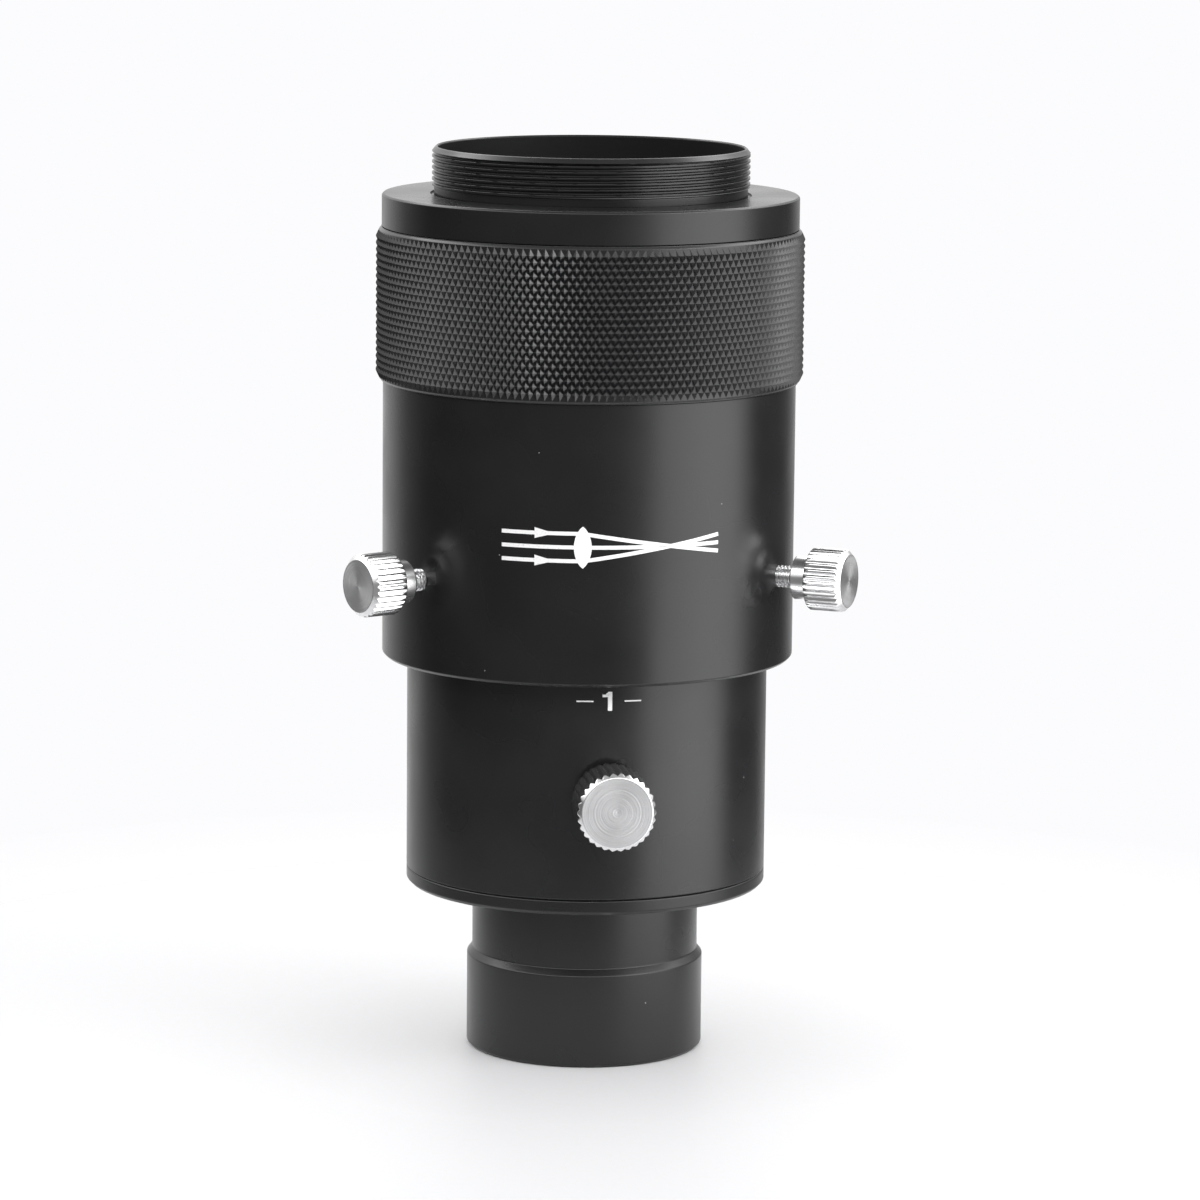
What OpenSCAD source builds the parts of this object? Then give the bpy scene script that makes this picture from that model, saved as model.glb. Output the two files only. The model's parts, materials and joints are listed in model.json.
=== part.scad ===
// Eyepiece-projection camera adapter with a 1.25 inch nosepiece and an M42 camera thread.
// Two tubes slide in each other, three screws clamp them, and a fourth holds an eyepiece.
// Millimetres. The origin is the centre of the nosepiece's lower edge, +Z runs along the
// optical axis towards the camera, and -Y is the side of the eyepiece screw.

/* [Nosepiece] */
// Radius of the land that slides into a telescope's focuser
nose_r = 15.85; // [15.5:0.05:15.9]
// Height of the land
nose_land_h = 12.4; // [11:0.1:14]
// Radius of the safety undercut above the land
undercut_r = 15.15; // [14.6:0.05:15.4]
// Height of the undercut, with the cone that leads into it
undercut_h = 10.1; // [8:0.1:10.2]
// Thickness of the flange that closes the inner barrel
flange_t = 2; // [1.8:0.1:2.6]
// Wall radius of the filter thread in the nosepiece's mouth
filter_r = 13.95; // [13.8:0.05:14.1]
// Depth of the filter thread
filter_depth = 5; // [3:0.5:7]
// Radius of the clear light path through the nosepiece
light_path_r = 13.4; // [12:0.1:13.5]

/* [Inner barrel and eyepiece socket] */
// Outer radius of the inner barrel, which the outer barrel slides on
inner_r = 24.05; // [23.8:0.05:24.3]
// Wall thickness of the inner barrel
inner_wall = 1.8; // [1.6:0.1:2]
// Length of the inner barrel above the flange
inner_len = 84.5; // [78:0.5:84.5]
// Radius of the bore that takes an eyepiece's barrel
socket_bore_r = 15.9; // [15.88:0.01:15.95]
// Height of the socket sleeve
socket_h = 18; // [16:0.5:24]
// Height of the threaded spigot that stands up inside the inner barrel
spigot_h = 5; // [4:0.5:6]

/* [Outer barrel] */
// Outer radius of the outer barrel
outer_r = 27.4; // [27.2:0.05:27.6]
// Running gap between the two barrels, on the radius
slide_gap = 0.08; // [0.05:0.01:0.1]
// Height of the outer barrel's lower edge when fully retracted
outer_z = 53.3; // [52:0.1:55]
// Length of the outer barrel's full-diameter part
outer_len = 36.7; // [34:0.1:38]
// Radius of the threaded spigot under the knurled ring
outer_spigot_r = 25.95; // [25.8:0.05:26.1]
// Height of that spigot
outer_spigot_h = 13; // [10:0.5:13]

/* [Camera end] */
// Radius over the knurling
knurl_r = 28.4; // [28.2:0.05:28.6]
// Height of the knurled ring
knurl_h = 20.3; // [19:0.1:21]
// Radius of the shoulder above the knurled ring
shoulder_r = 27.6; // [27.4:0.05:27.8]
// Height of the shoulder
shoulder_h = 4.4; // [4:0.1:5]
// Major radius of the M42 x 0.75 camera thread
camera_r = 21; // [20.9:0.05:21]
// Length of the camera thread
camera_thread_h = 4.4; // [3.5:0.1:5]
// Height of the plain relief below the camera thread
relief_h = 1.1; // [0.8:0.1:1.5]
// Radius of the clear opening through the camera end
mouth_r = 20.2; // [20:0.05:20.3]

/* [Clamp screws] */
// Height of the three clamp screws above the outer barrel's lower edge
clamp_up = 12.2; // [11:0.1:14]
// Distance of a clamp screw's face from the optical axis
clamp_face = 37.2; // [36.5:0.1:38]
// Radius of the fluted head
clamp_head_r = 4.15; // [3.9:0.05:4.4]
// Length of the fluted head
clamp_head_h = 5.05; // [4.5:0.05:6]
// Radius of the neck behind the head
clamp_neck_r = 2.9; // [2.6:0.1:3.2]
// Length of the neck
clamp_neck_h = 2.3; // [2:0.1:2.6]
// Radius of the M3 stud
clamp_stud_r = 1.45; // [1.4:0.01:1.5]
// Length of a clamp screw's nylon tip, without its peg
clamp_tip_h = 1; // [0.8:0.1:1.2]

/* [Eyepiece screw] */
// Height of the eyepiece screw above the inner barrel's lower edge
eyepiece_up = 13.6; // [12:0.1:15]
// Distance of its face from the optical axis
eyepiece_face = 33.6; // [33:0.1:34.5]
// Radius of the fluted head
eyepiece_head_r = 5.15; // [4.9:0.05:5.4]
// Length of the fluted head
eyepiece_head_h = 7.8; // [7.2:0.1:8]
// Radius of the neck behind the head
eyepiece_neck_r = 3.4; // [3:0.1:3.8]
// Length of the neck
eyepiece_neck_h = 0.75; // [0.5:0.05:0.8]
// Radius of the M4 stud
eyepiece_stud_r = 1.95; // [1.9:0.01:2]
// Length of its nylon tip, without its peg
eyepiece_tip_h = 2; // [1.5:0.1:2.5]

/* [Hidden] */

$fn = 96;
cut = 1;                 // how far a cutting solid runs past the face it opens
fit_gap = 0.05;          // gap of a threaded or turning fit, on the radius
seat_gap = 0.03;         // gap between faces that press together across a joint
edge = 0.4;              // small chamfer on turned edges

// Heights along the optical axis
nose_cone_h = 0.9;
flange_z = nose_land_h + undercut_h;
inner_z = flange_z + flange_t;
inner_top = inner_z + inner_len;
spigot_top = inner_z + spigot_h;
socket_top = spigot_top + socket_h;
outer_step_z = outer_z + outer_len;
outer_top = outer_step_z + outer_spigot_h;
knurl_z = outer_step_z + seat_gap;
shoulder_z = outer_step_z + knurl_h;
shoulder_top = shoulder_z + shoulder_h;
thread_z = shoulder_top + relief_h;
thread_top = thread_z + camera_thread_h;
rim_chamfer = 0.7;
rim_top = thread_top + rim_chamfer;

// Radii that follow from the fits
inner_bore_r = inner_r - inner_wall;
spigot_r = inner_bore_r - fit_gap;
eyepiece_relief_r = socket_bore_r + 0.4;
outer_bore_r = inner_r + slide_gap;
ring_bore_r = outer_spigot_r + fit_gap;
skirt_bore_r = inner_r + 0.35;
skirt_h = 6.8;
relief_r = camera_r - 0.25;
relief_side_r = camera_r + 0.2;
relief_sink = 0.3;       // how far the relief is cut into the shoulder's face

// Thumbscrews: straight V flutes, a chamfered face and a nylon tip on a peg
flute_count = 30;
flute_depth = 0.25;
head_chamfer = 0.7;
clamp_turns = [-60, 60, 180];
clamp_z = outer_z + clamp_up;
clamp_reach = inner_r + seat_gap;
eyepiece_z = inner_z + eyepiece_up;
eyepiece_reach = socket_bore_r + 0.08;
clamp_peg = [0.65, 1.2];
eyepiece_peg = [0.9, 2];
peg_gap = 0.05;
stud_in_head = 3;

black = [0.10, 0.10, 0.11];
nickel = [0.80, 0.80, 0.82];
steel = [0.66, 0.66, 0.68];
nylon = [0.93, 0.92, 0.88];

// Turned solid from an outline of [radius, height] points
module turned(points) {
    rotate_extrude() polygon(points);
}

// Places a radial screw: local Z is the distance from the optical axis
module radial(turn, height) {
    rotate([0, 0, turn]) translate([0, 0, height]) rotate([90, 0, 0]) children();
}

// Clearance hole for a radial screw, from one radius to another
module screw_hole(turn, height, r, from, to) {
    radial(turn, height) translate([0, 0, from]) cylinder(r = r, h = to - from);
}

// Cross-section of a fluted head: V teeth around a circle
module fluted_outline(r) {
    step = 180 / flute_count;
    polygon([for (i = [0 : 2 * flute_count - 1])
        let (tooth_r = r - (i % 2) * flute_depth)
        [tooth_r * cos(i * step), tooth_r * sin(i * step)]]);
}

// Fluted head with its neck, bored for the stud; z = 0 is the neck's inner face
module screw_head(r, head_h, neck_r, neck_h, stud_r) {
    difference() {
        union() {
            turned([[0, 0], [neck_r - edge / 2, 0], [neck_r, edge / 2],
                    [neck_r, neck_h + cut / 2], [0, neck_h + cut / 2]]);
            translate([0, 0, neck_h]) intersection() {
                linear_extrude(head_h) fluted_outline(r);
                turned([[0, 0], [r - edge / 2, 0], [r + edge / 4, 0.75 * edge],
                        [r + edge / 4, head_h - head_chamfer - edge / 4],
                        [r - head_chamfer, head_h], [0, head_h]]);
            }
        }
        translate([0, 0, -cut]) cylinder(r = stud_r, h = stud_in_head + cut);
    }
}

// Stud from its tip end up into the head, with a blind hole for the nylon tip's peg
module screw_stud(r, length, peg) {
    difference() {
        turned([[0, 0], [r - edge / 2, 0], [r, edge / 2], [r, length], [0, length]]);
        translate([0, 0, -cut]) cylinder(r = peg[0] + peg_gap, h = peg[1] + peg_gap + cut);
    }
}

// Nylon tip: a disc that bears on the work and a peg that turns in the stud
module screw_tip(r, tip_h, peg) {
    turned([[0, 0], [r - edge / 2, 0], [r, edge / 2], [r, tip_h], [peg[0], tip_h],
            [peg[0], tip_h + peg[1]], [0, tip_h + peg[1]]]);
}

// Barrel for the focuser, with filter thread, safety undercut, flange and inner spigot
module nosepiece() {
    mouth = filter_depth + edge;
    color(black) turned([
        [filter_r + edge, 0], [nose_r - edge, 0], [nose_r, edge], [nose_r, nose_land_h],
        [undercut_r, nose_land_h + nose_cone_h], [undercut_r, flange_z],
        [inner_r - edge, flange_z], [inner_r, flange_z + edge], [inner_r, inner_z],
        [spigot_r, inner_z], [spigot_r, spigot_top], [eyepiece_relief_r, spigot_top],
        [eyepiece_relief_r, inner_z - edge], [light_path_r, inner_z - edge],
        [light_path_r, mouth], [filter_r, mouth], [filter_r, edge]]);
}

// Tube that carries the extension scale and lets the eyepiece screw through
module inner_barrel() {
    color(black) difference() {
        turned([[inner_bore_r, inner_z], [inner_r, inner_z], [inner_r, inner_top - edge],
                [inner_r - edge, inner_top], [inner_bore_r, inner_top]]);
        screw_hole(0, eyepiece_z, eyepiece_stud_r + fit_gap, inner_bore_r - cut, inner_r + cut);
    }
}

// Sleeve inside the inner barrel that centres an eyepiece's 1.25 inch barrel
module eyepiece_socket() {
    color(black) difference() {
        turned([[socket_bore_r, spigot_top], [spigot_r, spigot_top], [spigot_r, socket_top],
                [socket_bore_r + edge, socket_top], [socket_bore_r, socket_top - edge]]);
        screw_hole(0, eyepiece_z, eyepiece_stud_r + fit_gap, socket_bore_r - cut, spigot_r + cut);
    }
}

// Sliding tube with three clamp screw holes and the spigot for the knurled ring
module outer_barrel() {
    color(black) difference() {
        turned([[outer_bore_r, outer_z], [outer_r - edge, outer_z], [outer_r, outer_z + edge],
                [outer_r, outer_step_z], [outer_spigot_r, outer_step_z],
                [outer_spigot_r, outer_top - edge], [outer_spigot_r - edge, outer_top],
                [outer_bore_r, outer_top]]);
        for (turn = clamp_turns)
            screw_hole(turn, clamp_z, clamp_stud_r + fit_gap, outer_bore_r - cut, outer_r + cut);
    }
}

// Grip ring that screws onto the outer barrel's spigot
module knurled_ring() {
    bevel = 0.7;
    color(black) turned([
        [ring_bore_r, knurl_z], [knurl_r - bevel, knurl_z], [knurl_r, knurl_z + bevel],
        [knurl_r, shoulder_z - bevel], [knurl_r - bevel, shoulder_z],
        [ring_bore_r, shoulder_z]]);
}

// Shoulder, camera thread and skirt; its inner ledge stops the inner barrel
module thread_ring() {
    ledge_z = inner_top + fit_gap;
    color(black) turned([
        [skirt_bore_r, shoulder_z - skirt_h], [outer_spigot_r, shoulder_z - skirt_h],
        [outer_spigot_r, shoulder_z], [shoulder_r, shoulder_z],
        [shoulder_r, shoulder_top - edge / 2], [shoulder_r - edge / 2, shoulder_top],
        [relief_side_r, shoulder_top], [relief_side_r, shoulder_top - relief_sink],
        [relief_r, shoulder_top - relief_sink], [relief_r, thread_z], [camera_r, thread_z],
        [camera_r, thread_top], [mouth_r + 0.2, rim_top], [mouth_r, rim_top],
        [mouth_r, ledge_z], [skirt_bore_r, ledge_z]]);
}

// One clamp screw is a head, a stud and a tip on the same radial line
module clamp_head(turn) {
    color(nickel) radial(turn, clamp_z)
        translate([0, 0, clamp_face - clamp_head_h - clamp_neck_h])
        screw_head(clamp_head_r, clamp_head_h, clamp_neck_r, clamp_neck_h, clamp_stud_r);
}

module clamp_stud(turn) {
    start = clamp_reach + clamp_tip_h + peg_gap;
    end = clamp_face - clamp_head_h - clamp_neck_h + stud_in_head;
    color(steel) radial(turn, clamp_z) translate([0, 0, start])
        screw_stud(clamp_stud_r, end - start, clamp_peg);
}

module clamp_tip(turn) {
    color(nylon) radial(turn, clamp_z) translate([0, 0, clamp_reach])
        screw_tip(clamp_stud_r - fit_gap, clamp_tip_h, clamp_peg);
}

module clamp_head_left() { clamp_head(clamp_turns[0]); }
module clamp_head_right() { clamp_head(clamp_turns[1]); }
module clamp_head_rear() { clamp_head(clamp_turns[2]); }
module clamp_stud_left() { clamp_stud(clamp_turns[0]); }
module clamp_stud_right() { clamp_stud(clamp_turns[1]); }
module clamp_stud_rear() { clamp_stud(clamp_turns[2]); }
module clamp_tip_left() { clamp_tip(clamp_turns[0]); }
module clamp_tip_right() { clamp_tip(clamp_turns[1]); }
module clamp_tip_rear() { clamp_tip(clamp_turns[2]); }

// The eyepiece screw's larger head
module eyepiece_head() {
    color(nickel) radial(0, eyepiece_z)
        translate([0, 0, eyepiece_face - eyepiece_head_h - eyepiece_neck_h])
        screw_head(eyepiece_head_r, eyepiece_head_h, eyepiece_neck_r, eyepiece_neck_h,
                   eyepiece_stud_r);
}

module eyepiece_stud() {
    start = eyepiece_reach + eyepiece_tip_h + peg_gap;
    end = eyepiece_face - eyepiece_head_h - eyepiece_neck_h + stud_in_head;
    color(steel) radial(0, eyepiece_z) translate([0, 0, start])
        screw_stud(eyepiece_stud_r, end - start, eyepiece_peg);
}

module eyepiece_tip() {
    color(nylon) radial(0, eyepiece_z) translate([0, 0, eyepiece_reach])
        screw_tip(eyepiece_stud_r - fit_gap, eyepiece_tip_h, eyepiece_peg);
}

nosepiece();
inner_barrel();
eyepiece_socket();
outer_barrel();
knurled_ring();
thread_ring();
clamp_head_left();
clamp_head_right();
clamp_head_rear();
clamp_stud_left();
clamp_stud_right();
clamp_stud_rear();
clamp_tip_left();
clamp_tip_right();
clamp_tip_rear();
eyepiece_head();
eyepiece_stud();
eyepiece_tip();
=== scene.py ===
"""Visual model of an eyepiece-projection camera adapter: black anodised tubes, a diamond-knurled
ring, a threaded camera end and four bright fluted thumbscrews, on a pale studio floor.

Outlines are written in millimetres, as [radius, height] points, and scaled to metres on the way
into a mesh. Radii and heights come from the CAD nodes' boxes wherever a node shows them.
"""
import json
import math

import bpy
from mathutils import Matrix, Vector, noise


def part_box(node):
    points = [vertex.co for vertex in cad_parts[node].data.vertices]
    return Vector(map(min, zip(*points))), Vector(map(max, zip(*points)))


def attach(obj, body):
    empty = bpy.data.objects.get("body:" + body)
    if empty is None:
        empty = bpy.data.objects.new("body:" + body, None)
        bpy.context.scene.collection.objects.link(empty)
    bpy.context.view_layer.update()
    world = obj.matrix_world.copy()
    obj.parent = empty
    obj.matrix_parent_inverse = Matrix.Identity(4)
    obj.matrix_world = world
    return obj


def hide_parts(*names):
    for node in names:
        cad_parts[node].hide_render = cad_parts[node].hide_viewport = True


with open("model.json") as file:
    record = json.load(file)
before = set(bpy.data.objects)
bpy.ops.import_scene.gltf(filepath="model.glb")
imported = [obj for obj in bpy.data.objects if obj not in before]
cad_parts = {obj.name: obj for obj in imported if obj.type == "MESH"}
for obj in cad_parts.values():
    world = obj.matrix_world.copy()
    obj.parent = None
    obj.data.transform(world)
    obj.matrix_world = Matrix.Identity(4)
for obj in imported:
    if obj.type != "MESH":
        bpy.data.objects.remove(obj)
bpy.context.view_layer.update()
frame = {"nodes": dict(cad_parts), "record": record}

MM = 0.001
FULL_TURN = 2 * math.pi
SMOOTH_ANGLE = 32.0                 # edges sharper than this many degrees stay sharp

ROOT = "nosepiece_group"
OUTER = "outer_barrel_group"
RING = "camera_ring_group"
SIDES = {"left": -60.0, "right": 60.0, "rear": 180.0}    # clamp screws, degrees from the front

# How the camera stands to the object, in degrees and mm; the front screw is a little to the right
CAMERA_AZIMUTH = -7.0
CAMERA_ELEVATION = 9.33
CAMERA_DISTANCE = 708.0
CAMERA_LENS = 158.9
CAMERA_ROLL = 0.53
CAMERA_CENTRE = Vector((0.0, 0.0, 60.0))
AIM_RIGHT, AIM_UP = 1.68, 0.33


# ------------------------------------------------------------------ sizes from the frame

def span(node):
    """Lowest height, highest height and outer radius of an upright round node, in mm."""
    low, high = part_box(node)
    return low.z / MM, high.z / MM, high.x / MM


_, NOSE_TOP, FLANGE_R = span("nosepiece")
INNER_Z, INNER_TOP, INNER_R = span("inner_barrel")
SOCKET_Z, SOCKET_TOP, SOCKET_R = span("eyepiece_socket")
OUTER_Z, OUTER_TOP, OUTER_R = span("outer_barrel")
KNURL_Z, KNURL_TOP, KNURL_R = span("knurled_ring")
SKIRT_Z, RIM_TOP, SHOULDER_R = span("thread_ring")
CLAMP_Z = (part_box("clamp_head_right")[0].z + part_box("clamp_head_right")[1].z) / 2 / MM
EYEPIECE_Z = (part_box("eyepiece_head")[0].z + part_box("eyepiece_head")[1].z) / 2 / MM
MOUNTS = {m["name"]: m for m in frame["record"]["mounts"]}


def mount_radius(name):
    return MOUNTS[name]["dims"]["r_mm"]


NOSE_R = mount_radius("nosepiece")
NOSE_LAND = MOUNTS["nosepiece"]["pos_m"][2] / MM + MOUNTS["nosepiece"]["dims"]["length_mm"]
SHOULDER_TOP = MOUNTS["camera_shoulder"]["pos_m"][2] / MM
CAMERA_R = mount_radius("camera_thread")
EYEPIECE_R = mount_radius("eyepiece_bore")
FILTER_R = mount_radius("filter_thread")

# Sizes that no box or mount shows, in mm
UNDERCUT_R = 15.15
CONE_H = 0.9
FLANGE_T = 2.0
LIGHT_PATH_R = 13.4
INNER_BORE_R = INNER_R - 1.8
OUTER_BORE_R = INNER_R + 0.08
SPIGOT_R = 25.95
RING_BORE_R = SPIGOT_R + 0.05
SKIRT_BORE_R = INNER_R + 0.35
MOUTH_R = 20.2
RELIEF_H = 1.1
RIM_CHAMFER = 0.7
BEVEL = 0.7


# ------------------------------------------------------------------ mesh helpers

def rounded(outline, radius, arc=4, hold=0.04):
    """Closed outline with its corners rounded, and a point held close to each side of an arc."""
    count = len(outline)
    result = []
    for i in range(count):
        before, here, after = (Vector(outline[(i + k) % count]) for k in (-1, 0, 1))
        inward, outward = before - here, after - here
        room = min(inward.length, outward.length) * 0.4
        size = min(radius, room)
        if size < 0.01 or inward.angle(outward) > math.radians(179):
            result.append(here)
            continue
        start = here + inward.normalized() * size
        end = here + outward.normalized() * size
        guard = min(hold, room - size + 0.005)
        result.append(start + inward.normalized() * guard)
        for k in range(arc + 1):
            t = k / arc
            result.append(start * (1 - t) ** 2 + here * 2 * t * (1 - t) + end * t ** 2)
        result.append(end + outward.normalized() * guard)
    return result


def subdivided(start, end, step):
    """Points from start to end, evenly spaced and at most a step apart."""
    a, b = Vector(start), Vector(end)
    count = max(1, math.ceil((b - a).length / step))
    return [a.lerp(b, k / count) for k in range(count + 1)]


def mesh_object(name, verts, faces, material, smooth_angle=SMOOTH_ANGLE):
    """Object from vertices in mm, shaded smooth except over edges sharper than the angle."""
    mesh = bpy.data.meshes.new(name)
    mesh.from_pydata([Vector(v) * MM for v in verts], [], faces)
    mesh.validate()
    mesh.update()
    mesh.shade_smooth()
    mesh.set_sharp_from_angle(angle=math.radians(smooth_angle))
    mesh.materials.append(material)
    piece = bpy.data.objects.new(name, mesh)
    bpy.context.scene.collection.objects.link(piece)
    return piece


def lathe(name, outline, material, steps=288, shape=None, smooth_angle=SMOOTH_ANGLE):
    """Revolves a closed outline; shape(turn, r, z) may change the radius at a turn from 0 to 1.

    Columns start half a step off, so that no column runs through the middle of a screw's hole.
    """
    verts, faces = [], []
    count = len(outline)
    for s in range(steps):
        turn = (s + 0.5) / steps
        c, n = math.cos(turn * FULL_TURN), math.sin(turn * FULL_TURN)
        for point in outline:
            r = shape(turn, point[0], point[1]) if shape else point[0]
            verts.append((r * c, r * n, point[1]))
    for s in range(steps):
        a, b = s * count, (s + 1) % steps * count
        for i in range(count):
            j = (i + 1) % count
            faces.append((a + i, b + i, b + j, a + j))
    return mesh_object(name, verts, faces, material, smooth_angle)


def spindle(name, outline, material, steps=96, shape=None, smooth_angle=SMOOTH_ANGLE):
    """Solid turned piece: an open outline that starts and ends on the axis."""
    verts = [(0, 0, outline[0][1]), (0, 0, outline[-1][1])]
    faces = []
    body = outline[1:-1]
    count = len(body)
    for s in range(steps):
        turn = s / steps
        c, n = math.cos(turn * FULL_TURN), math.sin(turn * FULL_TURN)
        for point in body:
            r = shape(turn, point[0], point[1]) if shape else point[0]
            verts.append((r * c, r * n, point[1]))
    for s in range(steps):
        a, b = 2 + s * count, 2 + (s + 1) % steps * count
        faces.append((0, b, a))
        faces.append((1, a + count - 1, b + count - 1))
        for i in range(count - 1):
            faces.append((a + i, b + i, b + i + 1, a + i + 1))
    return mesh_object(name, verts, faces, material, smooth_angle)


def smoothstep(low, high, x):
    t = min(1.0, max(0.0, (x - low) / (high - low)))
    return t * t * (3 - 2 * t)


def thread_shape(pitch, depth, low, high, outer=True):
    """Helical thread between two heights, cut into a pin or, with outer=False, into a bore.

    A cosine wave, cut off at both ends of its swing, gives flat crests and flat roots.
    """
    middle, swing = 0.45, 0.8
    run_in = 0.35 * pitch

    def shape(turn, r, z):
        if not low <= z <= high:
            return r
        phase = (z / pitch - turn) % 1.0
        cut = depth * min(1.0, max(0.0, middle - swing * math.cos(FULL_TURN * phase)))
        fade = smoothstep(low, low + run_in, z) * smoothstep(high, high - run_in, z)
        return r - cut * fade if outer else r + cut * fade
    return shape


def with_rings(outline, heights):
    """Adds points where long upright sides cross the given heights, to keep a hole's cut local."""
    result = []
    for i, here in enumerate(outline):
        result.append(here)
        after = outline[(i + 1) % len(outline)]
        if abs(here[0] - after[0]) > 0.001:
            continue
        low, high = sorted((here[1], after[1]))
        inside = [z for z in heights if low + 0.5 < z < high - 0.5]
        if after[1] < here[1]:
            inside.reverse()
        result += [Vector((here[0], z)) for z in inside]
    return result


def drill(piece, holes):
    """Cuts round holes in a piece: each is (turn in degrees, height, radius, from, to)."""
    for k, (turn, height, radius, start, end) in enumerate(holes):
        outline = [(0, start), (radius, start), (radius, end), (0, end)]
        cutter = spindle(f"cutter_{k}", outline, piece.data.materials[0], steps=48)
        cutter.matrix_world = radial(turn, height)
        boolean = piece.modifiers.new("hole", "BOOLEAN")
        boolean.operation = "DIFFERENCE"
        boolean.solver = "EXACT"
        boolean.object = cutter
        bpy.context.view_layer.update()
        graph = bpy.context.evaluated_depsgraph_get()
        mesh = bpy.data.meshes.new_from_object(piece.evaluated_get(graph))
        piece.modifiers.clear()
        piece.data = mesh
        bpy.data.objects.remove(cutter)
    piece.data.set_sharp_from_angle(angle=math.radians(SMOOTH_ANGLE))


def radial(turn, height, distance=0.0):
    """Matrix that stands local Z on a radial line; distance is measured from the optical axis."""
    return (Matrix.Rotation(math.radians(turn), 4, "Z")
            @ Matrix.Translation((0, -distance * MM, height * MM))
            @ Matrix.Rotation(math.radians(90), 4, "X"))


def install(piece, body, slot, *nodes):
    """The piece rides on a body and stands for the named CAD nodes; the slot is not used."""
    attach(piece, body)
    if nodes:
        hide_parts(*nodes)
    return piece


# ------------------------------------------------------------------ materials

class Graph:
    """Short ways to add nodes to a node tree; a socket given as an input is linked."""

    def __init__(self, tree):
        self.tree = tree

    def add(self, kind, inputs=None, **settings):
        node = self.tree.nodes.new(kind)
        for key, value in settings.items():
            setattr(node, key, value)
        for key, value in (inputs or {}).items():
            self.feed(node.inputs[key], value)
        return node

    def feed(self, socket, value):
        if isinstance(value, bpy.types.NodeSocket):
            self.tree.links.new(value, socket)
        else:
            socket.default_value = value

    def math(self, operation, a, b=0.0):
        return self.add("ShaderNodeMath", {0: a, 1: b}, operation=operation).outputs[0]

    def ramp(self, value, low, high, a, b):
        """Maps value from low..high to a..b, held at both ends."""
        inputs = {"Value": value, "From Min": low, "From Max": high, "To Min": a, "To Max": b}
        return self.add("ShaderNodeMapRange", inputs).outputs["Result"]


class Shader(Graph):
    """A material with one Principled shader, patterned in the piece's own coordinates."""

    def __init__(self, name):
        self.material = bpy.data.materials.new(name)
        self.material.use_nodes = True
        super().__init__(self.material.node_tree)
        self.principled = self.tree.nodes["Principled BSDF"]
        self.coords = self.add("ShaderNodeTexCoord").outputs["Object"]

    def set(self, **sockets):
        for key, value in sockets.items():
            self.feed(self.principled.inputs[key.replace("_", " ")], value)

    def noise(self, scale, detail=3.0, roughness=0.5):
        inputs = {"Vector": self.coords, "Scale": scale, "Detail": detail,
                  "Roughness": roughness}
        return self.add("ShaderNodeTexNoise", inputs).outputs["Fac"]

    def line_noise(self, value, scale, detail=4.0):
        """Noise along one number, such as a height or a radius: turning marks."""
        inputs = {"W": value, "Scale": scale, "Detail": detail}
        return self.add("ShaderNodeTexNoise", inputs, noise_dimensions="1D").outputs["Fac"]

    def blend(self, factor, a, b):
        """Mixes two colours; a may be another socket."""
        node = self.add("ShaderNodeMix", {"Factor": factor}, data_type="RGBA")
        for socket, colour in ((node.inputs[6], a), (node.inputs[7], b)):
            self.feed(socket, (*colour, 1) if isinstance(colour, tuple) else colour)
        return node.outputs[2]

    def height(self):
        return self.add("ShaderNodeSeparateXYZ", {"Vector": self.coords}).outputs["Z"]

    def radius(self):
        """Distance from the local Z axis."""
        flat = self.add("ShaderNodeVectorMath", {0: self.coords, 1: (1, 1, 0)},
                        operation="MULTIPLY").outputs["Vector"]
        return self.add("ShaderNodeVectorMath", {0: flat}, operation="LENGTH").outputs["Value"]

    def bump(self, distance, height, normal=None):
        inputs = {"Height": height, "Distance": distance}
        if normal:
            inputs["Normal"] = normal
        return self.add("ShaderNodeBump", inputs).outputs["Normal"]


def specks(shader, cell, share, size):
    """0..1 mask of dust specks: one in each cell in metres, kept in a small share of the cells.

    The size is a speck's radius as a share of a cell.
    """
    inputs = {"Vector": shader.coords, "Scale": 1 / cell, "Randomness": 1.0}
    cells = shader.add("ShaderNodeTexVoronoi", inputs)
    chosen = shader.add("ShaderNodeSeparateColor", {"Color": cells.outputs["Color"]}).outputs[0]
    kept = shader.math("LESS_THAN", chosen, share)
    close = shader.math("LESS_THAN", cells.outputs["Distance"], size)
    return shader.math("MULTIPLY", kept, close)


def anodised(name, tone=0.010, rough=0.33, marks=1.0, grain=1.0, dust=True):
    """Black anodised turned aluminium: satin grain, fine turning marks, dust, and edges that are
    worn and carry a painted highlight.
    """
    s = Shader(name)
    blotch = s.noise(90.0, 2.0)
    turned = s.line_noise(s.height(), 5200.0)
    fine = s.noise(9000.0, 2.0, 0.6)
    pointed = s.add("ShaderNodeNewGeometry").outputs["Pointiness"]
    # Pointy edges are lightened in the base colour: partly edge wear, partly a painted edge
    # highlight.
    edge_wear_and_highlight = s.math("MULTIPLY", s.ramp(pointed, 0.54, 0.64, 0.0, 0.4),
                  s.ramp(s.noise(700.0, 3.0), 0.35, 0.7, 0.15, 1.0))
    colour = s.blend(s.ramp(blotch, 0.3, 0.7, 0.0, 1.0), (tone, tone, tone * 1.1),
                     (tone * 1.25, tone * 1.22, tone * 1.32))
    colour = s.blend(edge_wear_and_highlight, colour, (0.10, 0.10, 0.105))
    if dust:
        colour = s.blend(specks(s, cell=0.0016, share=0.05, size=0.055), colour, (0.30, 0.30, 0.29))
    s.set(Base_Color=colour, IOR=1.5,
          Roughness=s.ramp(blotch, 0.3, 0.7, rough - 0.04, rough + 0.05))
    grooves = s.bump(0.000004 * marks, turned)
    s.set(Normal=s.bump(0.0000035 * grain, fine, grooves))
    return s.material


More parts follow.
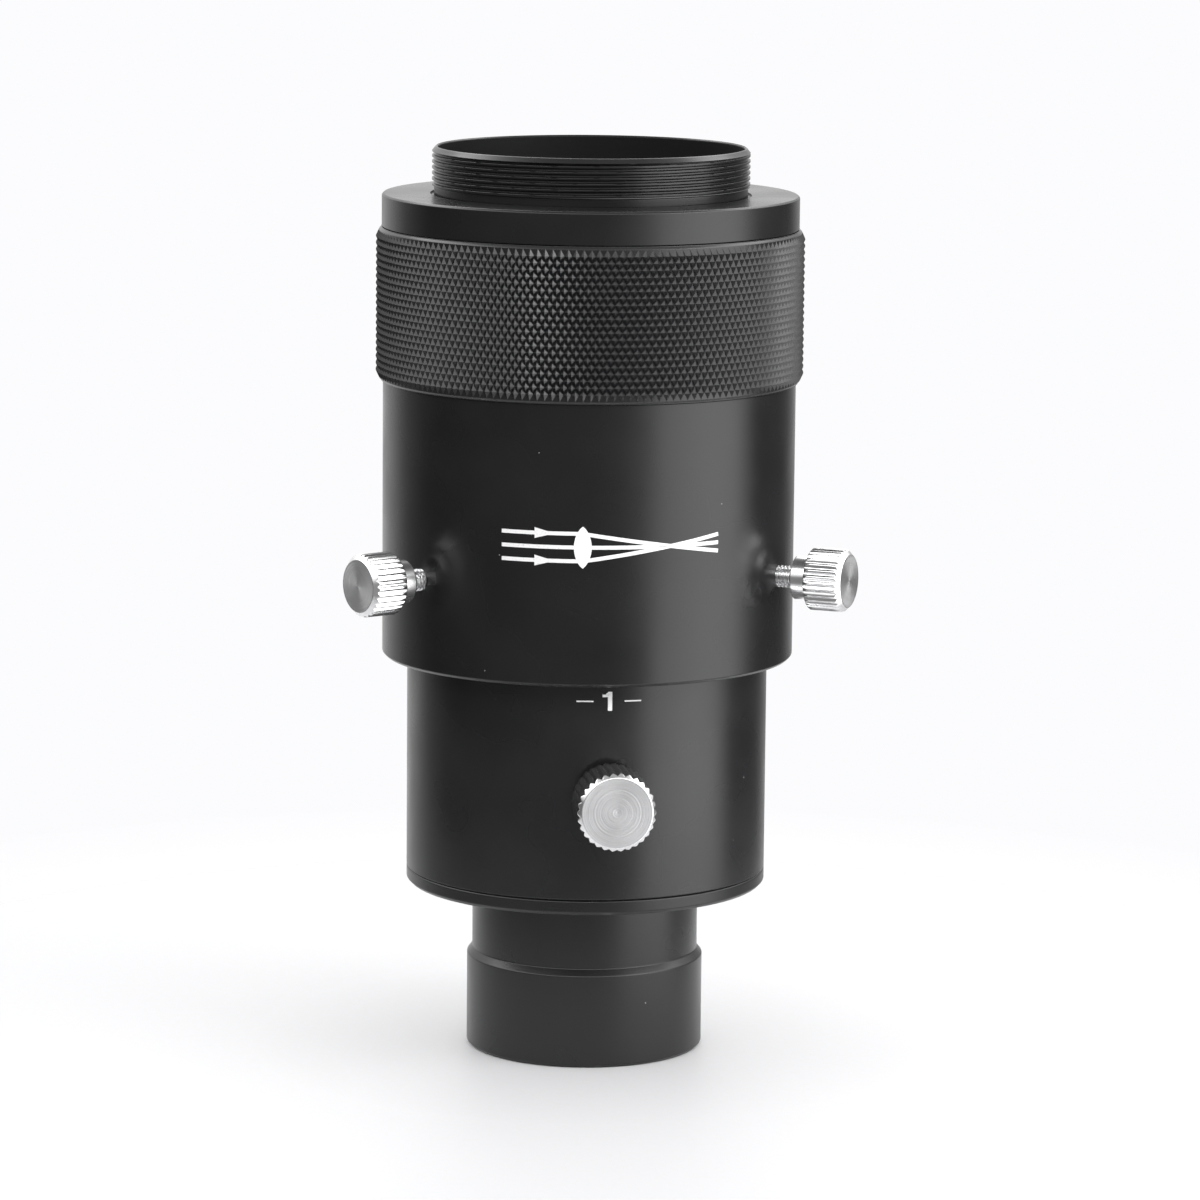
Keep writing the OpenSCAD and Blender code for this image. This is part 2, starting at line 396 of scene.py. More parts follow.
def matte_bore(name):
    """Dull anti-reflection black of the bores, with a fine sooty grain."""
    s = Shader(name)
    grain = s.noise(6000.0, 3.0)
    s.set(Base_Color=s.blend(grain, (0.003, 0.003, 0.0035), (0.007, 0.007, 0.0075)),
          Roughness=s.ramp(grain, 0.3, 0.7, 0.50, 0.70), IOR=1.45, Specular_IOR_Level=0.22,
          Normal=s.bump(0.00002, grain, s.bump(0.00001, s.line_noise(s.height(), 2600.0))))
    return s.material


def bright_metal(name, rough):
    """Bright turned metal with a faint lengthwise grain and smudges."""
    s = Shader(name)
    smudge = s.noise(420.0, 3.0)
    along = s.line_noise(s.height(), 6000.0, 2.0)
    s.set(Base_Color=s.blend(s.ramp(smudge, 0.3, 0.7, 0.0, 1.0), (0.84, 0.84, 0.85),
                             (0.92, 0.92, 0.92)),
          Metallic=1.0, Roughness=s.ramp(smudge, 0.3, 0.7, rough - 0.02, rough + 0.03),
          Normal=s.bump(0.00000025, along))
    return s.material


def turned_face(name):
    """Faced-off end of a screw head: concentric tool marks that spread the light sideways."""
    s = Shader(name)
    smudge = s.noise(300.0, 3.0)
    rings = s.line_noise(s.radius(), 7000.0, 3.0)
    broad = s.line_noise(s.radius(), 2600.0, 1.0)
    tangent = s.add("ShaderNodeTangent", direction_type="RADIAL", axis="Z").outputs["Tangent"]
    s.set(Base_Color=s.blend(s.ramp(smudge, 0.3, 0.7, 0.0, 1.0), (0.70, 0.70, 0.71),
                             (0.80, 0.80, 0.81)),
          Metallic=1.0, Roughness=s.ramp(rings, 0.3, 0.7, 0.32, 0.44), Anisotropic=0.7,
          Tangent=tangent,
          Normal=s.bump(0.000008, rings, s.bump(0.00003, broad)))
    return s.material


def nylon(name):
    """Milky nylon of the screws' tips."""
    s = Shader(name)
    grain = s.noise(3500.0, 3.0)
    s.set(Base_Color=s.blend(grain, (0.80, 0.79, 0.74), (0.88, 0.87, 0.83)), IOR=1.52,
          Roughness=s.ramp(grain, 0.3, 0.7, 0.38, 0.52), Subsurface_Weight=0.15,
          Subsurface_Scale=0.0008, Normal=s.bump(0.00001, grain))
    return s.material


def white_ink(name):
    """Screen-printed white ink, slightly uneven where the metal shows through."""
    s = Shader(name)
    thin = s.ramp(s.noise(5200.0, 4.0, 0.6), 0.28, 0.44, 0.0, 1.0)
    s.set(Base_Color=s.blend(thin, (0.55, 0.55, 0.56), (0.86, 0.86, 0.86)), Roughness=0.5,
          IOR=1.45, Normal=s.bump(0.000006, s.noise(7000.0, 2.0)))
    return s.material


def studio_paper(name):
    """White paper with a faint tooth; it is opaque at the object and thins out around it."""
    s = Shader(name)
    tooth = s.noise(900.0, 3.0)
    s.set(Base_Color=s.blend(tooth, (0.545, 0.545, 0.554), (0.565, 0.565, 0.574)), Roughness=0.5,
          IOR=1.4, Normal=s.bump(0.00002, tooth), Alpha=s.ramp(s.radius(), 0.045, 0.16, 1.0, 0.0))
    return s.material


OUTER_BLACK = anodised("outer_black_anodised", tone=0.006, rough=0.27)
INNER_BLACK = anodised("inner_black_anodised", tone=0.007, rough=0.28)
NOSE_BLACK = anodised("nosepiece_black_anodised", tone=0.004, rough=0.30, grain=1.3)
KNURL_BLACK = anodised("knurl_black_anodised", tone=0.010, rough=0.24, marks=0.0, dust=False)
THREAD_BLACK = anodised("thread_black_anodised", tone=0.006, rough=0.27)
BORE_BLACK = matte_bore("bore_matte_black")
BRIGHT = bright_metal("bright_screw_metal", 0.16)
TURNED_FACE = turned_face("turned_screw_face")
STUD_METAL = bright_metal("stud_metal", 0.22)
NYLON = nylon("tip_nylon")
INK = white_ink("white_ink")


def paint_bore(piece, below_radius):
    """Gives faces that look inwards, closer to the axis than a radius in mm, the dull black."""
    piece.data.materials.append(BORE_BLACK)
    for face in piece.data.polygons:
        flat = Vector((face.center.x, face.center.y, 0))
        if flat.length < below_radius * MM and face.normal.dot(flat) < 0.2 * flat.length:
            face.material_index = 1


# ------------------------------------------------------------------ tubes and rings

def nosepiece():
    """Focuser barrel: filter thread inside its mouth, safety undercut, flange and spigot.

    Its columns stay over 0.35 mm apart: Pointiness takes closer ones for a single one where they
    mirror each other, which draws a light streak of painted edge highlight and wear up the
    undercut.
    """
    flange_z = INNER_Z - FLANGE_T
    mouth = 5.4
    outside = rounded([
        (FILTER_R + 0.4, 0), (NOSE_R - 0.4, 0), (NOSE_R, 0.4), (NOSE_R, NOSE_LAND),
        (UNDERCUT_R, NOSE_LAND + CONE_H), (UNDERCUT_R, flange_z), (FLANGE_R - 0.45, flange_z),
        (FLANGE_R, flange_z + 0.45), (FLANGE_R, INNER_Z - 0.16), (FLANGE_R - 0.2, INNER_Z),
        (SOCKET_R, INNER_Z), (SOCKET_R, NOSE_TOP), (EYEPIECE_R + 0.4, NOSE_TOP),
        (EYEPIECE_R + 0.4, INNER_Z - 0.4), (LIGHT_PATH_R, INNER_Z - 0.4),
        (LIGHT_PATH_R, mouth)], 0.09)
    thread = subdivided((FILTER_R, mouth), (FILTER_R, 0.4), 0.05)
    shape = thread_shape(0.6, 0.28, 0.4, mouth, outer=False)

    def inside_only(turn, r, z):
        return shape(turn, r, z) if abs(r - FILTER_R) < 0.01 else r
    piece = lathe("nosepiece_turned", outside + thread, NOSE_BLACK, steps=270,
                  shape=inside_only)
    paint_bore(piece, NOSE_R - 0.5)
    return install(piece, ROOT, "nosepiece_black", "nosepiece")


def inner_barrel():
    """Tube that carries the scale, with the eyepiece screw's hole."""
    outline = rounded([
        (INNER_BORE_R, INNER_Z), (INNER_R - 0.2, INNER_Z), (INNER_R, INNER_Z + 0.16),
        (INNER_R, INNER_TOP - 0.4), (INNER_R - 0.4, INNER_TOP), (INNER_BORE_R + 0.2, INNER_TOP),
        (INNER_BORE_R, INNER_TOP - 0.2)], 0.07)
    outline = with_rings(outline, [EYEPIECE_Z + dz for dz in (-3.0, -2.4, 2.4, 3.0)])
    piece = lathe("inner_barrel_tube", outline, INNER_BLACK)
    drill(piece, [(0, EYEPIECE_Z, 2.0, INNER_BORE_R - 1, INNER_R + 1)])
    paint_bore(piece, INNER_BORE_R + 0.1)
    return install(piece, ROOT, "inner_black", "inner_barrel")


def eyepiece_socket():
    """Sleeve that centres an eyepiece, with a lead-in chamfer."""
    outline = rounded([
        (EYEPIECE_R, SOCKET_Z), (SOCKET_R, SOCKET_Z), (SOCKET_R, SOCKET_TOP - 0.3),
        (SOCKET_R - 0.3, SOCKET_TOP), (EYEPIECE_R + 0.4, SOCKET_TOP),
        (EYEPIECE_R, SOCKET_TOP - 0.4)], 0.08)
    outline = with_rings(outline, [EYEPIECE_Z + dz for dz in (-3.0, -2.4, 2.4, 3.0)])
    piece = lathe("eyepiece_socket_sleeve", outline, BORE_BLACK)
    drill(piece, [(0, EYEPIECE_Z, 2.0, EYEPIECE_R - 1, SOCKET_R + 1)])
    return install(piece, ROOT, "socket_black", "eyepiece_socket")


def outer_barrel():
    """Sliding tube with three clamp screw holes, and the threaded spigot under the knurl."""
    edge = 0.4
    thread_low, thread_high = KNURL_Z + 0.4, OUTER_TOP - 0.5
    smooth = rounded([
        (SPIGOT_R - edge, OUTER_TOP), (OUTER_BORE_R + 0.3, OUTER_TOP),
        (OUTER_BORE_R, OUTER_TOP - 0.3), (OUTER_BORE_R, OUTER_Z + 0.3),
        (OUTER_BORE_R + 0.3, OUTER_Z), (OUTER_R - edge, OUTER_Z), (OUTER_R, OUTER_Z + edge),
        (OUTER_R, KNURL_Z - 0.05), (SPIGOT_R, KNURL_Z - 0.05)], 0.10)
    smooth = with_rings(smooth, [CLAMP_Z + dz for dz in (-2.4, -1.8, 1.8, 2.4)])
    thread = subdivided((SPIGOT_R, thread_low), (SPIGOT_R, thread_high), 0.07)
    shape = thread_shape(0.75, 0.36, thread_low, thread_high)

    def outside_only(turn, r, z):
        return shape(turn, r, z) if abs(r - SPIGOT_R) < 0.01 else r
    piece = lathe("outer_barrel_tube", smooth + thread, OUTER_BLACK, shape=outside_only)
    drill(piece, [(turn, CLAMP_Z, 1.5, OUTER_BORE_R - 1, OUTER_R + 1)
                  for turn in SIDES.values()])
    paint_bore(piece, OUTER_BORE_R + 0.1)
    return install(piece, OUTER, "outer_black", "outer_barrel")


def knurled_ring():
    """Grip ring: a lattice of diamond pyramids between plain margins and bevels.

    Lattice points alternate between tips and valleys, and each lattice cell is split along its
    valley, so four neighbouring triangles make one pyramid.
    """
    columns = 354                       # two for each diamond around the ring
    depth = 0.44
    run_out = 0.40                      # where the bevel meets the bottom of the knurling
    row_h = 0.875                       # about half a diamond's height
    low, high = KNURL_Z + run_out, KNURL_TOP - run_out
    rows = round((high - low) / row_h)
    tip_r, valley_r = KNURL_R - 0.03, KNURL_R - depth
    lattice = [low + (high - low) * k / rows for k in range(rows + 1)]
    plain = [Vector((valley_r - 0.02, high + 0.04))] + rounded([
        (KNURL_R - BEVEL, KNURL_TOP), (RING_BORE_R, KNURL_TOP), (RING_BORE_R, KNURL_Z + 0.3),
        (RING_BORE_R + 0.3, KNURL_Z), (KNURL_R - BEVEL, KNURL_Z)], 0.06)
    plain.append(Vector((valley_r - 0.02, low - 0.04)))
    verts, faces, knurled = [], [], []
    count = len(lattice) + len(plain)
    for c in range(columns):
        turn = c / columns * FULL_TURN
        for k, z in enumerate(lattice):
            tip = (c + k) % 2 == 0
            edge_row = k in (0, rows)
            r = valley_r if (not tip or edge_row) else tip_r
            jitter = 0.02 * noise.noise(Vector((c * 0.37, k * 0.61, 1.7)))
            r += jitter if tip and not edge_row else 0
            verts.append((r * math.cos(turn), r * math.sin(turn), z))
        for r, z in plain:
            verts.append((r * math.cos(turn), r * math.sin(turn), z))
    for c in range(columns):
        a, b = c * count, (c + 1) % columns * count
        for k in range(rows):
            quad = (a + k, b + k, b + k + 1, a + k + 1)
            if (c + k) % 2 == 0:
                pair = [(quad[0], quad[1], quad[3]), (quad[1], quad[2], quad[3])]
            else:
                pair = [(quad[0], quad[1], quad[2]), (quad[0], quad[2], quad[3])]
            knurled += range(len(faces), len(faces) + 2)
            faces += pair
        for k in range(rows, count):
            j = (k + 1) % count
            faces.append((a + k, b + k, b + j, a + j))
    piece = mesh_object("knurled_grip", verts, faces, KNURL_BLACK)
    for k in knurled:
        piece.data.polygons[k].use_smooth = False
    return install(piece, RING, "knurl_black", "knurled_ring")


def thread_ring():
    """Shoulder with the helical camera thread above it and the hidden skirt below."""
    relief_r = CAMERA_R - 0.28
    relief_side_r = CAMERA_R + 0.2
    relief_floor = SHOULDER_TOP - 0.3
    thread_low = SHOULDER_TOP + RELIEF_H
    thread_high = RIM_TOP - RIM_CHAMFER + 0.1
    ledge_z = INNER_TOP + 0.05
    lower = rounded([
        (MOUTH_R + 0.25, RIM_TOP), (MOUTH_R, RIM_TOP - 0.2), (MOUTH_R, ledge_z),
        (SKIRT_BORE_R, ledge_z), (SKIRT_BORE_R, SKIRT_Z), (SPIGOT_R, SKIRT_Z),
        (SPIGOT_R, KNURL_TOP), (SHOULDER_R - 0.15, KNURL_TOP), (SHOULDER_R, KNURL_TOP + 0.15),
        (SHOULDER_R, SHOULDER_TOP - 0.25), (SHOULDER_R - 0.25, SHOULDER_TOP),
        (relief_side_r, SHOULDER_TOP), (relief_side_r, relief_floor), (relief_r, relief_floor),
        (relief_r, thread_low - 0.25)], 0.08)
    thread = subdivided((CAMERA_R, thread_low), (CAMERA_R, thread_high), 0.032)
    rim = [(CAMERA_R - 0.04, thread_high + 0.03), (CAMERA_R - 0.40, RIM_TOP - 0.12),
           (CAMERA_R - 0.43, RIM_TOP - 0.09), (CAMERA_R - 0.52, RIM_TOP - 0.02),
           (CAMERA_R - 0.60, RIM_TOP)]
    shape = thread_shape(0.75, 0.34, thread_low, thread_high)

    def outside_only(turn, r, z):
        return shape(turn, r, z) if abs(r - CAMERA_R) < 0.01 else r
    piece = lathe("camera_thread_ring", lower + thread + rim, THREAD_BLACK, steps=360,
                  shape=outside_only, smooth_angle=60)
    paint_bore(piece, MOUTH_R + 0.1)
    return install(piece, RING, "thread_black", "thread_ring")


# ------------------------------------------------------------------ thumbscrews

FLUTES = 30


def fluted(radius, low, high, depth, chamfer):
    """Pointed teeth with sharp valleys; the chamfer at the outer end cuts through them."""
    def shape(turn, r, z):
        if r < radius - depth - chamfer or not low <= z <= high:
            return r
        tip = abs(2 * (turn * FLUTES % 1.0) - 1)        # 1 on a tooth's tip, 0 in a valley
        tooth = radius - depth * (1 - tip) ** 1.35
        cone = radius - max(0.0, z - (high - chamfer))
        rear = radius + 0.02 - max(0.0, low + 0.18 - z)
        return min(r, tooth, cone, rear)
    return shape


def reach_of(node, turn):
    """Nearest and furthest distance of a radial node from the optical axis, in mm."""
    outward = Vector((math.sin(math.radians(turn)), -math.cos(math.radians(turn)), 0))
    reaches = [v.co.dot(outward) / MM for v in frame["nodes"][node].data.vertices]
    return min(reaches), max(reaches)


def screw_head(name, body, node, turn, height, radius, head_h, neck_r, chamfer, depth):
    """Fluted head with its neck; local Z runs outwards from the neck's inner face."""
    start, end = reach_of(node, turn)
    top = end - start
    neck_h = top - head_h
    face_r = radius - chamfer
    rows = [(0, 0), (neck_r - 0.15, 0), (neck_r - 0.04, 0.04), (neck_r, 0.15),
            (neck_r, 0.17), (neck_r, neck_h - 0.1), (neck_r, neck_h - 0.08),
            (neck_r + 0.03, neck_h - 0.02), (neck_r + 0.1, neck_h), (radius - 0.5, neck_h)]
    rows += [(radius, z) for z in (neck_h + 0.001, neck_h + 0.06, neck_h + 0.18)]
    rows += [(radius, neck_h + 0.18 + (head_h - chamfer - 0.18) * k / 6) for k in range(1, 7)]
    rows += [(radius, top - chamfer + chamfer * k / 8) for k in range(1, 8)]
    rows += [(face_r + 0.03, top - 0.03), (face_r - 0.05, top), (face_r - 0.12, top - 0.004)]
    rows += [(face_r * (1 - 0.15 * k), top - 0.03 * math.sin(0.24 * k)) for k in range(1, 6)]
    rows += [(0.22, top - 0.035), (0.12, top - 0.05), (0, top - 0.055)]
    shape = fluted(radius, neck_h, top, depth, chamfer)
    piece = spindle(name, rows, BRIGHT, steps=FLUTES * 12, shape=shape, smooth_angle=38)
    piece.data.materials.append(TURNED_FACE)
    for face in piece.data.polygons:
        centre = face.center / MM
        if centre.z > top - 0.1 and Vector((centre.x, centre.y)).length < face_r - 0.05:
            face.material_index = 1
    piece.matrix_world = radial(turn, height, start)
    return install(piece, body, "bright_screw", node)


def screw_stud(name, body, node, turn, height, radius, pitch, peg_r, peg_h):
    """Threaded stud along the node's own reach, with a blind hole for the nylon tip's peg."""
    start, end = reach_of(node, turn)
    length = end - start
    gap = 0.05
    hole_r, hole_h = peg_r + gap, peg_h + gap
    rows = [(0, hole_h), (hole_r, hole_h), (hole_r, 0.1), (hole_r + 0.1, 0), (radius - 0.25, 0)]
    rows += [(radius, z[1]) for z in subdivided((0, 0.2), (0, length - 0.1), pitch / 12)]
    rows += [(radius - 0.1, length), (0, length)]
    thread = thread_shape(pitch, pitch * 0.56, 0.2, length - 0.1)

    def outside_only(turn_part, r, z):
        return thread(turn_part, r, z) if r > radius - 0.01 else r
    piece = spindle(name, rows, STUD_METAL, steps=72, shape=outside_only, smooth_angle=50)
    piece.matrix_world = radial(turn, height, start)
    return install(piece, body, "steel_stud", node)


def screw_tip(name, body, node, turn, height, radius, tip_h, peg_r, peg_h):
    """Nylon tip: a rounded disc with the peg that turns in the stud."""
    start, _ = reach_of(node, turn)
    ease = 0.18
    rows = [(0, 0), (radius - ease, 0), (radius - ease * 0.3, ease * 0.3), (radius, ease),
            (radius, tip_h - 0.05), (radius - 0.05, tip_h), (peg_r, tip_h),
            (peg_r, tip_h + peg_h - 0.1), (peg_r - 0.1, tip_h + peg_h), (0, tip_h + peg_h)]
    piece = spindle(name, rows, NYLON, steps=48)
    piece.matrix_world = radial(turn, height, start)
    return install(piece, body, "nylon", node)


def clamp_screws():
    for side, turn in SIDES.items():
        group = f"clamp_{side}"
        screw_head(f"{group}_fluted_head", f"{group}_screw_group", f"clamp_head_{side}", turn,
                   CLAMP_Z, radius=4.15, head_h=5.05, neck_r=2.9, chamfer=0.7, depth=0.25)
        screw_stud(f"{group}_threaded_stud", f"{group}_screw_group", f"clamp_stud_{side}",
                   turn, CLAMP_Z, radius=1.45, pitch=0.5, peg_r=0.65, peg_h=1.2)
        screw_tip(f"{group}_nylon_tip", f"{group}_tip_group", f"clamp_tip_{side}", turn,
                  CLAMP_Z, radius=1.4, tip_h=1.0, peg_r=0.65, peg_h=1.2)


def eyepiece_screw():
    screw_head("eyepiece_fluted_head", "eyepiece_screw_group", "eyepiece_head", 0, EYEPIECE_Z,
               radius=5.15, head_h=7.8, neck_r=3.4, chamfer=0.55, depth=0.30)
    screw_stud("eyepiece_threaded_stud", "eyepiece_screw_group", "eyepiece_stud", 0,
               EYEPIECE_Z, radius=1.95, pitch=0.7, peg_r=0.9, peg_h=2.0)
    screw_tip("eyepiece_nylon_tip", "eyepiece_tip_group", "eyepiece_tip", 0, EYEPIECE_Z,
              radius=1.9, tip_h=2.0, peg_r=0.9, peg_h=2.0)


# ------------------------------------------------------------------ printed marks

INK_H = 0.015
FRONT = -math.pi / 2


def on_barrel(radius, across, up, height, lift):
    """Point on a barrel: across is an arc length to the right of the front line, in mm."""
    angle = FRONT + across / radius
    r = radius + lift
    return (r * math.cos(angle), r * math.sin(angle), height + up)


def ink_strokes(name, strokes, radius, height):
    """Printed lines: each stroke is (list of [across, up] points, width in mm).

    A width may also be a function of the share of the stroke's points passed, from 0 to 1.
    Every stroke is a strip of narrow columns, so that it follows the barrel.
    """
    verts, faces = [], []
    columns = 4
    upper = [(0.5 - c / columns, INK_H) for c in range(columns + 1)]
    section = upper + [(share, -lift) for share, lift in reversed(upper)]
    row = len(section)
    for points, width in strokes:
        path = [Vector(points[0])]
        for a, b in zip(points, points[1:]):
            path += subdivided(a, b, 0.3)[1:]
        first = len(verts)
        last = len(path) - 1
        for i, here in enumerate(path):
            ahead = path[min(i + 1, last)] - path[max(i - 1, 0)]
            full = width(i / last) if callable(width) else width
            side = Vector((-ahead.y, ahead.x)).normalized() * full
            for share, lift in section:
                spot = here + side * share
                verts.append(on_barrel(radius, spot.x, spot.y, height, lift))
        for i in range(last):
            a, b = first + row * i, first + row * (i + 1)
            faces += [(a + c, a + (c + 1) % row, b + (c + 1) % row, b + c) for c in range(row)]
        end = first + row * last
        faces.append(tuple(range(first + row - 1, first - 1, -1)))
        faces.append(tuple(range(end, end + row)))
    return mesh_object(name, verts, faces, INK)


def arc_points(centre, radius, start, end, count=14):
    return [(centre[0] + radius * math.cos(math.radians(start + (end - start) * k / count)),
             centre[1] + radius * math.sin(math.radians(start + (end - start) * k / count)))
            for k in range(count + 1)]


def numeral(digit):
    """Bold strokes of a numeral from 1 to 5, 2.5 mm tall and centred."""
    pen = 0.46
    if digit == 1:
        return [([(0.12, -1.25), (0.12, 1.25)], 0.56), ([(0.1, 0.98), (-0.3, 0.78)], 0.5),
                ([(-0.1, 0.72), (-0.86, 0.72)], 0.34)]
    if digit == 2:
        return [(arc_points((0, 0.5), 0.53, 170, -30) + [(-0.62, -0.85)], pen),
                ([(-0.76, -1.02), (0.76, -1.02)], pen)]
    if digit == 3:
        return [(arc_points((0, 0.56), 0.46, 160, -70), pen),
                (arc_points((0, -0.44), 0.58, 80, -160), pen)]
    if digit == 4:
        return [([(0.3, -1.25), (0.3, 1.25)], pen), ([(0.25, 1.1), (-0.72, -0.5)], pen * 0.8),
                ([(-0.85, -0.6), (0.8, -0.6)], pen)]
    return [([(-0.5, 1.02), (0.66, 1.02)], pen), ([(-0.5, 1.1), (-0.55, 0.05)], pen),
            (arc_points((-0.02, -0.4), 0.62, 130, -155), pen)]


def extension_scale():
    """Numbers 1 to 5, each between two dashes, 10 mm apart up the inner barrel."""
    first, step = 50.96, 10.0
    dash_start, dash_end, dash_width = 2.03, 4.25, 0.18
    for k in range(5):
        height = first + step * k
        digit = ink_strokes(f"scale_number_{k + 1}", numeral(k + 1), INNER_R, height)
        dashes = [([(side * dash_start, 0), (side * dash_end, 0)], dash_width)
                  for side in (-1, 1)]
        lines = ink_strokes(f"scale_dashes_{k + 1}", dashes, INNER_R, height)
        for piece in (digit, lines):
            install(piece, ROOT, "inner_black")


def optics_pictogram():
    """A plain lens pictogram: parallel rays meet a lens and cross at its focus.

    The outer rays leave room for their arrowheads, and end a little inside them.
    """
    middle_z = OUTER_Z + 18.3
    half_w, half_h = 14.75, 2.7
    lens_x, focus_x = -4.0, 7.6
    ray = half_h * 0.66
    line = 0.5
    arrow_x = (-half_w + lens_x) / 2
    arrow_half = 0.9
    tuck = 0.05

    def lens_width(share):
        return 0.1 + 2.2 * (4 * share * (1 - share)) ** 0.8

    def arrow_width(share):
        return 1.4 - 0.94 * share
    strokes = [([(lens_x, -half_h), (lens_x, half_h)], lens_width),
               ([(-half_w, 0), (half_w, 0)], line)]
    for side in (-1, 1):
        height = side * ray
        far = -height * (half_w - focus_x) / (focus_x - lens_x)
        strokes.append(([(-half_w, height), (arrow_x - arrow_half + tuck, height)], line))
        strokes.append(([(arrow_x + arrow_half - tuck, height), (lens_x, height)], line))
        strokes.append(([(lens_x, height), (focus_x, 0), (half_w, far)], line))
        strokes.append(([(arrow_x - arrow_half, height), (arrow_x + arrow_half, height)],
                        arrow_width))
    piece = ink_strokes("optics_pictogram", strokes, OUTER_R, middle_z)
    install(piece, OUTER, "outer_black")


# ------------------------------------------------------------------ studio

def make_camera():
    azimuth, elevation = math.radians(CAMERA_AZIMUTH), math.radians(CAMERA_ELEVATION)
    back = Vector((math.sin(azimuth) * math.cos(elevation),
                   -math.cos(azimuth) * math.cos(elevation), math.sin(elevation)))
    facing = (-back).to_track_quat("-Z", "Y")
    data = bpy.data.cameras.new("camera")
    data.lens = CAMERA_LENS
    data.sensor_width = 36.0
    data.clip_start, data.clip_end = 0.01, 20.0
    camera = bpy.data.objects.new("camera", data)
    place = CAMERA_CENTRE + back * CAMERA_DISTANCE
    aim = CAMERA_CENTRE + facing @ Vector((AIM_RIGHT, AIM_UP, 0))
    facing = (aim - place).to_track_quat("-Z", "Y")
    camera.matrix_world = (Matrix.Translation(place * MM) @ facing.to_matrix().to_4x4()
                           @ Matrix.Rotation(math.radians(CAMERA_ROLL), 4, "Z"))
    bpy.context.scene.collection.objects.link(camera)
    bpy.context.scene.camera = camera


def make_floor():
    """White paper disc under the object, which fades into the white surround."""
    mesh = bpy.data.meshes.new("floor")
    radii = [0.1, 0.2, 0.3, 0.4, 0.5]
    around = 64
    verts = [(r * math.cos(FULL_TURN * k / around), r * math.sin(FULL_TURN * k / around), 0)
             for r in radii for k in range(around)]
    faces = [tuple(range(around))]
    for ring in range(len(radii) - 1):
        a, b = ring * around, (ring + 1) * around
        for k in range(around):
            j = (k + 1) % around
            faces.append((a + k, b + k, b + j, a + j))
    mesh.from_pydata(verts, [], faces)
    mesh.materials.append(studio_paper("studio_paper"))
    floor = bpy.data.objects.new("floor", mesh)
    bpy.context.scene.collection.objects.link(floor)


# Brightness of the surround near the horizon, by degrees to the right of the camera's side:
# a tall softbox from 40 to 95, dim surroundings in front, white paper behind
SURROUND = [(-180, 1.05), (-142, 0.78), (-118, 0.28), (-98, 0.11), (-60, 0.18), (-20, 0.28),
            (12, 0.26), (30, 0.55), (42, 2.50), (68, 3.00), (88, 2.70), (97, 1.20),
            (104, 0.15), (140, 0.12), (156, 0.45), (180, 1.05)]
# Brightness higher up, by degrees above the horizon: a bright band from 34 to 45
OVERHEAD = [(0, 1.2), (28, 1.2), (34, 4.1), (45, 4.1), (55, 0.8), (74, 0.4), (90, 0.4)]
SURROUND_PEAK = 4.1
# Between these two heights in degrees, the first list gives way to the second
HORIZON_TOP, OVERHEAD_FROM = 6, 26
WHITE = (0.972, 0.972, 0.988)


def stops(g, value, levels):
    """Smooth curve through (position, level) stops, for a value from 0 to 1."""
    band = g.add("ShaderNodeValToRGB", {"Fac": value})
    band.color_ramp.interpolation = "EASE"
    elements = band.color_ramp.elements
    while len(elements) < len(levels):
        elements.new(0.5)
    for element, (position, level) in zip(elements, levels):
        element.position = position
        element.color = (level / SURROUND_PEAK,) * 3 + (1,)
    return g.math("MULTIPLY", band.outputs["Color"], SURROUND_PEAK)


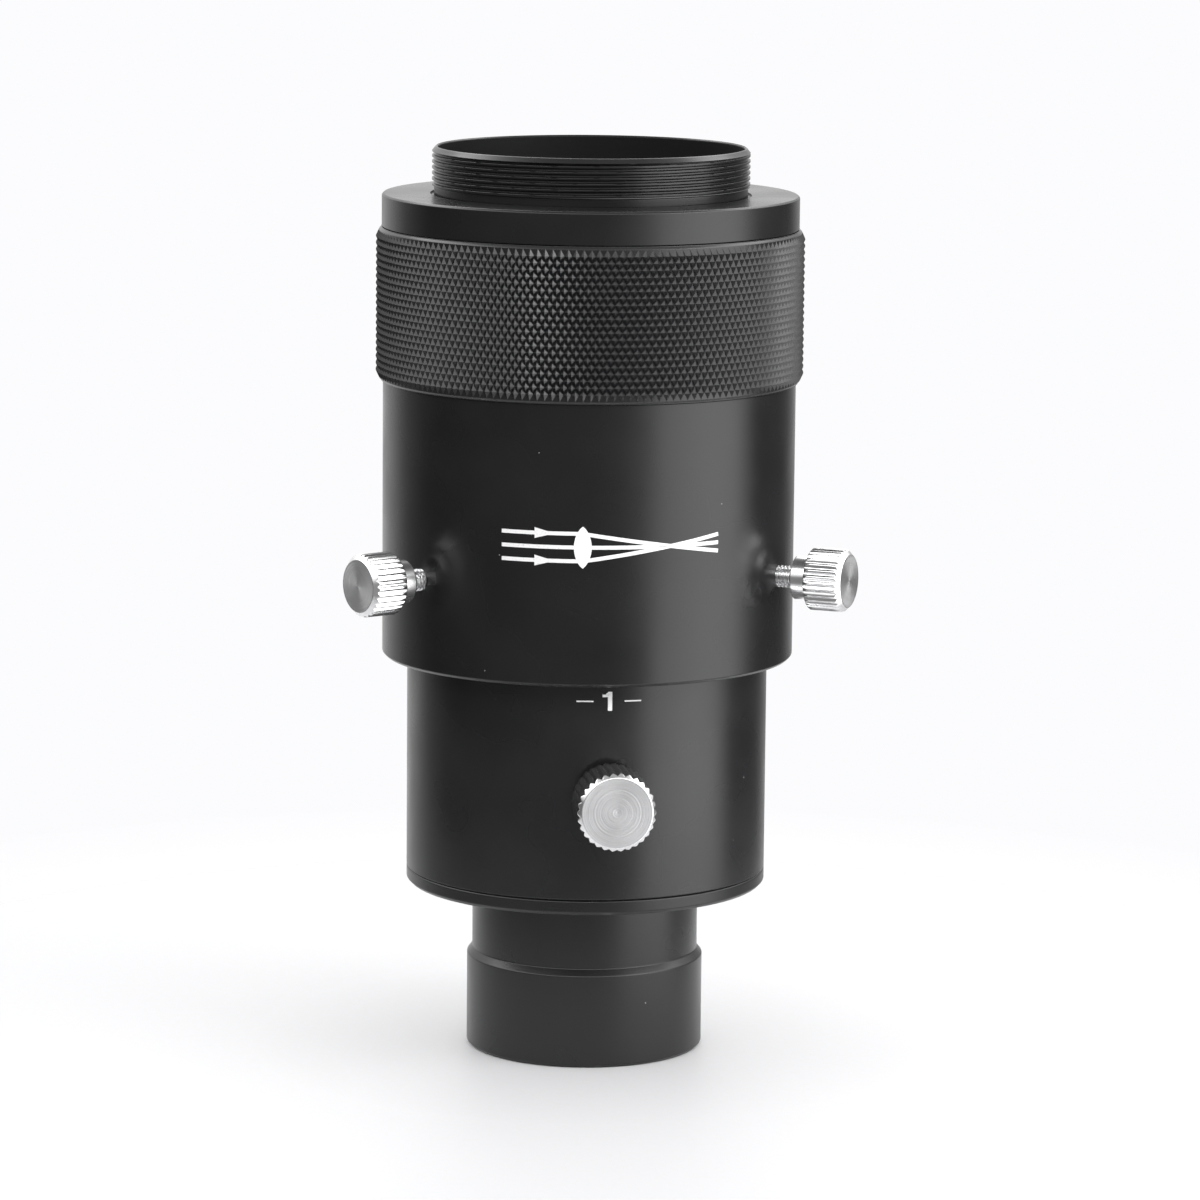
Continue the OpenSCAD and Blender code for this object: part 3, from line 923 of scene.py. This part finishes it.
def make_world():
    """Soft studio surround: brightness by direction near the horizon, and by height above it.

    The camera itself sees an even white behind the object.
    """
    world = bpy.data.worlds.new("studio")
    bpy.context.scene.world = world
    world.use_nodes = True
    g = Graph(world.node_tree)
    coords = g.add("ShaderNodeTexCoord").outputs["Generated"]
    turned = g.add("ShaderNodeVectorRotate",
                   {"Vector": coords, "Angle": -math.radians(CAMERA_AZIMUTH)},
                   rotation_type="Z_AXIS").outputs[0]
    split = g.add("ShaderNodeSeparateXYZ", {"Vector": turned})
    toward = g.math("MULTIPLY", split.outputs["Y"], -1.0)
    angle = g.math("ARCTAN2", split.outputs["X"], toward)
    horizon = stops(g, g.ramp(angle, -math.pi, math.pi, 0.0, 1.0),
                    [(degrees / 360 + 0.5, level) for degrees, level in SURROUND])
    up = g.math("ARCSINE", split.outputs["Z"])
    overhead = stops(g, g.ramp(up, 0.0, math.pi / 2, 0.0, 1.0),
                     [(degrees / 90, level) for degrees, level in OVERHEAD])
    lifted = g.add("ShaderNodeMapRange", {"Value": up, "From Min": math.radians(HORIZON_TOP),
                                          "From Max": math.radians(OVERHEAD_FROM)},
                   interpolation_type="SMOOTHSTEP").outputs["Result"]
    level = g.add("ShaderNodeMix", {"Factor": lifted}, data_type="FLOAT")
    g.feed(level.inputs[2], horizon)
    g.feed(level.inputs[3], overhead)
    light = g.tree.nodes["Background"]
    light.inputs["Color"].default_value = (1, 1, 1, 1)
    g.tree.links.new(level.outputs[0], light.inputs["Strength"])
    seen = g.add("ShaderNodeBackground", {"Color": (*WHITE, 1), "Strength": 1.0})
    path = g.add("ShaderNodeLightPath")
    mixed = g.add("ShaderNodeMixShader", {"Fac": path.outputs["Is Camera Ray"]})
    g.tree.links.new(light.outputs[0], mixed.inputs[1])
    g.tree.links.new(seen.outputs[0], mixed.inputs[2])
    g.tree.links.new(mixed.outputs[0], g.tree.nodes["World Output"].inputs["Surface"])


def softbox(name, turn, elevation, distance, width, height, radiance):
    """Area light that faces the object; turn 0 is the camera's side and positive is right."""
    a, e = math.radians(CAMERA_AZIMUTH + turn), math.radians(elevation)
    back = Vector((math.sin(a) * math.cos(e), -math.cos(a) * math.cos(e), math.sin(e)))
    light = bpy.data.lights.new(name, "AREA")
    light.shape = "RECTANGLE"
    light.size, light.size_y = width, height
    light.energy = radiance * math.pi * width * height
    lamp = bpy.data.objects.new(name, light)
    lamp.location = CAMERA_CENTRE * MM + back * distance
    lamp.rotation_mode = "QUATERNION"
    lamp.rotation_quaternion = back.to_track_quat("Z", "Y")
    lamp.visible_camera = False
    bpy.context.scene.collection.objects.link(lamp)


def make_studio():
    make_camera()
    make_floor()
    make_world()
    softbox("upper_softbox", turn=62, elevation=38, distance=0.8, width=0.4, height=0.25,
            radiance=5.0)
    bpy.context.scene.view_settings.view_transform = "Standard"


make_studio()
nosepiece()
inner_barrel()
eyepiece_socket()
outer_barrel()
knurled_ring()
thread_ring()
clamp_screws()
eyepiece_screw()
extension_scale()
optics_pictogram()
